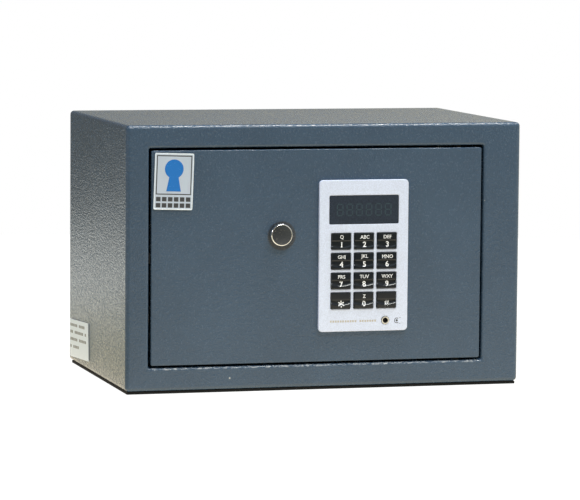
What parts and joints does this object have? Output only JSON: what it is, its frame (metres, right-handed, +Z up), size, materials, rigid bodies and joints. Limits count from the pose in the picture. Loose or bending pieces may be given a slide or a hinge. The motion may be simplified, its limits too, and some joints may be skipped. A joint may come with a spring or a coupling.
{
  "type": "in-room safe",
  "caption": "Compact hotel room safe: folded steel cabinet, flush door on concealed pins, motor-driven bolts, keypad and display panel, and a capped emergency key lock.",
  "frame": {"origin": "middle of the anti-slip pad's underside, halfway between the cabinet's front and back faces", "axes": "+X across the front towards the hinges, +Y from the front to the back, +Z up"},
  "size_m": [0.3105, 0.205, 0.2022],
  "materials": {
    "cabinet_paint": "satin",
    "door_paint": "satin",
    "plain_steel": "satin",
    "zinc_steel": "satin",
    "bolt_steel": "polished",
    "chrome": "polished",
    "brass": "satin",
    "silver_plastic": "satin",
    "key_black": "gloss",
    "black_plastic": "matte",
    "smoked_window": "gloss",
    "grey_rubber": "matte",
    "black_rubber": "matte",
    "board_green": "satin",
    "label_white": "matte",
    "badge_metal": "satin",
    "felt": "matte",
    "battery_can": "gloss",
    "red_plastic": "gloss",
    "lead_red": "satin",
    "nylon": "satin"
  },
  "bodies": {
    "cabinet": {"cabinet_shell": "cabinet_paint", "back_panel": "cabinet_paint", "floor_mat": "felt", "base_pad": "black_rubber", "bolt_keeper": "plain_steel", "upper_hinge_bracket": "plain_steel", "lower_hinge_bracket": "plain_steel", "door_stop": "grey_rubber", "side_label": "label_white"},
    "door": {"door_plate": "door_paint", "door_frame": "cabinet_paint", "door_back_cover": "cabinet_paint", "badge_plate": "badge_metal", "keypad_bezel": "silver_plastic", "display_lens": "smoked_window", "display_module": "black_plastic", "keypad_mat": "grey_rubber", "circuit_board": "board_green", "power_jack": "plain_steel", "buzzer": "black_plastic", "lock_barrel": "plain_steel", "lock_nut": "brass", "upper_hinge_pin": "zinc_steel", "lower_hinge_pin": "zinc_steel", "upper_hinge_block": "plain_steel", "lower_hinge_block": "plain_steel", "gearbox": "nylon", "drive_motor": "plain_steel", "motor_bracket": "zinc_steel", "guide_stud_1": "zinc_steel", "guide_stud_2": "zinc_steel", "battery_box": "black_plastic", "battery_1": "battery_can", "battery_2": "battery_can", "battery_3": "battery_can", "battery_4": "battery_can", "reset_switch": "black_plastic", "motor_lead": "lead_red", "battery_lead": "lead_red"},
    "bolt_work": {"bolt_carriage": "zinc_steel", "upper_bolt": "bolt_steel", "lower_bolt": "bolt_steel"},
    "pinion": {"drive_pinion": "brass"},
    "lock_core": {"lock_plug": "brass", "lock_cam": "zinc_steel"},
    "cap": {"lock_cap": "chrome"},
    "battery_hatch": {"battery_cover": "black_plastic"},
    "reset": {"reset_button": "red_plastic"},
    "button_1": {"key_1": "key_black"},
    "button_2": {"key_2": "key_black"},
    "button_3": {"key_3": "key_black"},
    "button_4": {"key_4": "key_black"},
    "button_5": {"key_5": "key_black"},
    "button_6": {"key_6": "key_black"},
    "button_7": {"key_7": "key_black"},
    "button_8": {"key_8": "key_black"},
    "button_9": {"key_9": "key_black"},
    "button_star": {"key_star": "key_black"},
    "button_0": {"key_0": "key_black"},
    "button_hash": {"key_hash": "key_black"}
  },
  "joints": [
    {"name": "door_swing", "type": "hinge", "parent": "cabinet", "child": "door", "pos_m": [0.1067, -0.093, 0.1022], "axis": [0, 0, 1], "range_deg": [0, 110]},
    {"name": "bolt_slide", "type": "slide", "parent": "door", "child": "bolt_work", "axis": [-1, 0, 0], "range_m": [0, 0.014]},
    {"name": "pinion_turn", "type": "hinge", "parent": "door", "child": "pinion", "pos_m": [-0.045, -0.079, 0.0752], "axis": [0, -1, 0], "range_deg": [0, 90]},
    {"name": "emergency_turn", "type": "hinge", "parent": "door", "child": "lock_core", "pos_m": [-0.0357, -0.1, 0.1189], "axis": [0, -1, 0], "range_deg": [0, 90]},
    {"name": "cap_pull", "type": "slide", "parent": "door", "child": "cap", "axis": [0, -1, 0], "range_m": [0, 0.025]},
    {"name": "battery_cover_lift", "type": "slide", "parent": "door", "child": "battery_hatch", "axis": [0, 1, 0], "range_m": [0, 0.02]},
    {"name": "reset_press", "type": "slide", "parent": "door", "child": "reset", "axis": [0, -1, 0], "range_m": [0, 0.0012], "stiffness_N_per_m": 300, "springref_m": -0.001},
    {"name": "key_1_press", "type": "slide", "parent": "door", "child": "button_1", "axis": [0, 1, 0], "range_m": [0, 0.001], "stiffness_N_per_m": 300, "springref_m": -0.001},
    {"name": "key_2_press", "type": "slide", "parent": "door", "child": "button_2", "axis": [0, 1, 0], "range_m": [0, 0.001], "stiffness_N_per_m": 300, "springref_m": -0.001},
    {"name": "key_3_press", "type": "slide", "parent": "door", "child": "button_3", "axis": [0, 1, 0], "range_m": [0, 0.001], "stiffness_N_per_m": 300, "springref_m": -0.001},
    {"name": "key_4_press", "type": "slide", "parent": "door", "child": "button_4", "axis": [0, 1, 0], "range_m": [0, 0.001], "stiffness_N_per_m": 300, "springref_m": -0.001},
    {"name": "key_5_press", "type": "slide", "parent": "door", "child": "button_5", "axis": [0, 1, 0], "range_m": [0, 0.001], "stiffness_N_per_m": 300, "springref_m": -0.001},
    {"name": "key_6_press", "type": "slide", "parent": "door", "child": "button_6", "axis": [0, 1, 0], "range_m": [0, 0.001], "stiffness_N_per_m": 300, "springref_m": -0.001},
    {"name": "key_7_press", "type": "slide", "parent": "door", "child": "button_7", "axis": [0, 1, 0], "range_m": [0, 0.001], "stiffness_N_per_m": 300, "springref_m": -0.001},
    {"name": "key_8_press", "type": "slide", "parent": "door", "child": "button_8", "axis": [0, 1, 0], "range_m": [0, 0.001], "stiffness_N_per_m": 300, "springref_m": -0.001},
    {"name": "key_9_press", "type": "slide", "parent": "door", "child": "button_9", "axis": [0, 1, 0], "range_m": [0, 0.001], "stiffness_N_per_m": 300, "springref_m": -0.001},
    {"name": "key_star_press", "type": "slide", "parent": "door", "child": "button_star", "axis": [0, 1, 0], "range_m": [0, 0.001], "stiffness_N_per_m": 300, "springref_m": -0.001},
    {"name": "key_0_press", "type": "slide", "parent": "door", "child": "button_0", "axis": [0, 1, 0], "range_m": [0, 0.001], "stiffness_N_per_m": 300, "springref_m": -0.001},
    {"name": "key_hash_press", "type": "slide", "parent": "door", "child": "button_hash", "axis": [0, 1, 0], "range_m": [0, 0.001], "stiffness_N_per_m": 300, "springref_m": -0.001}
  ],
  "couplings": [
    {"joint": "pinion_turn", "follows": "bolt_slide", "rad_per_m": 111.11}
  ]
}
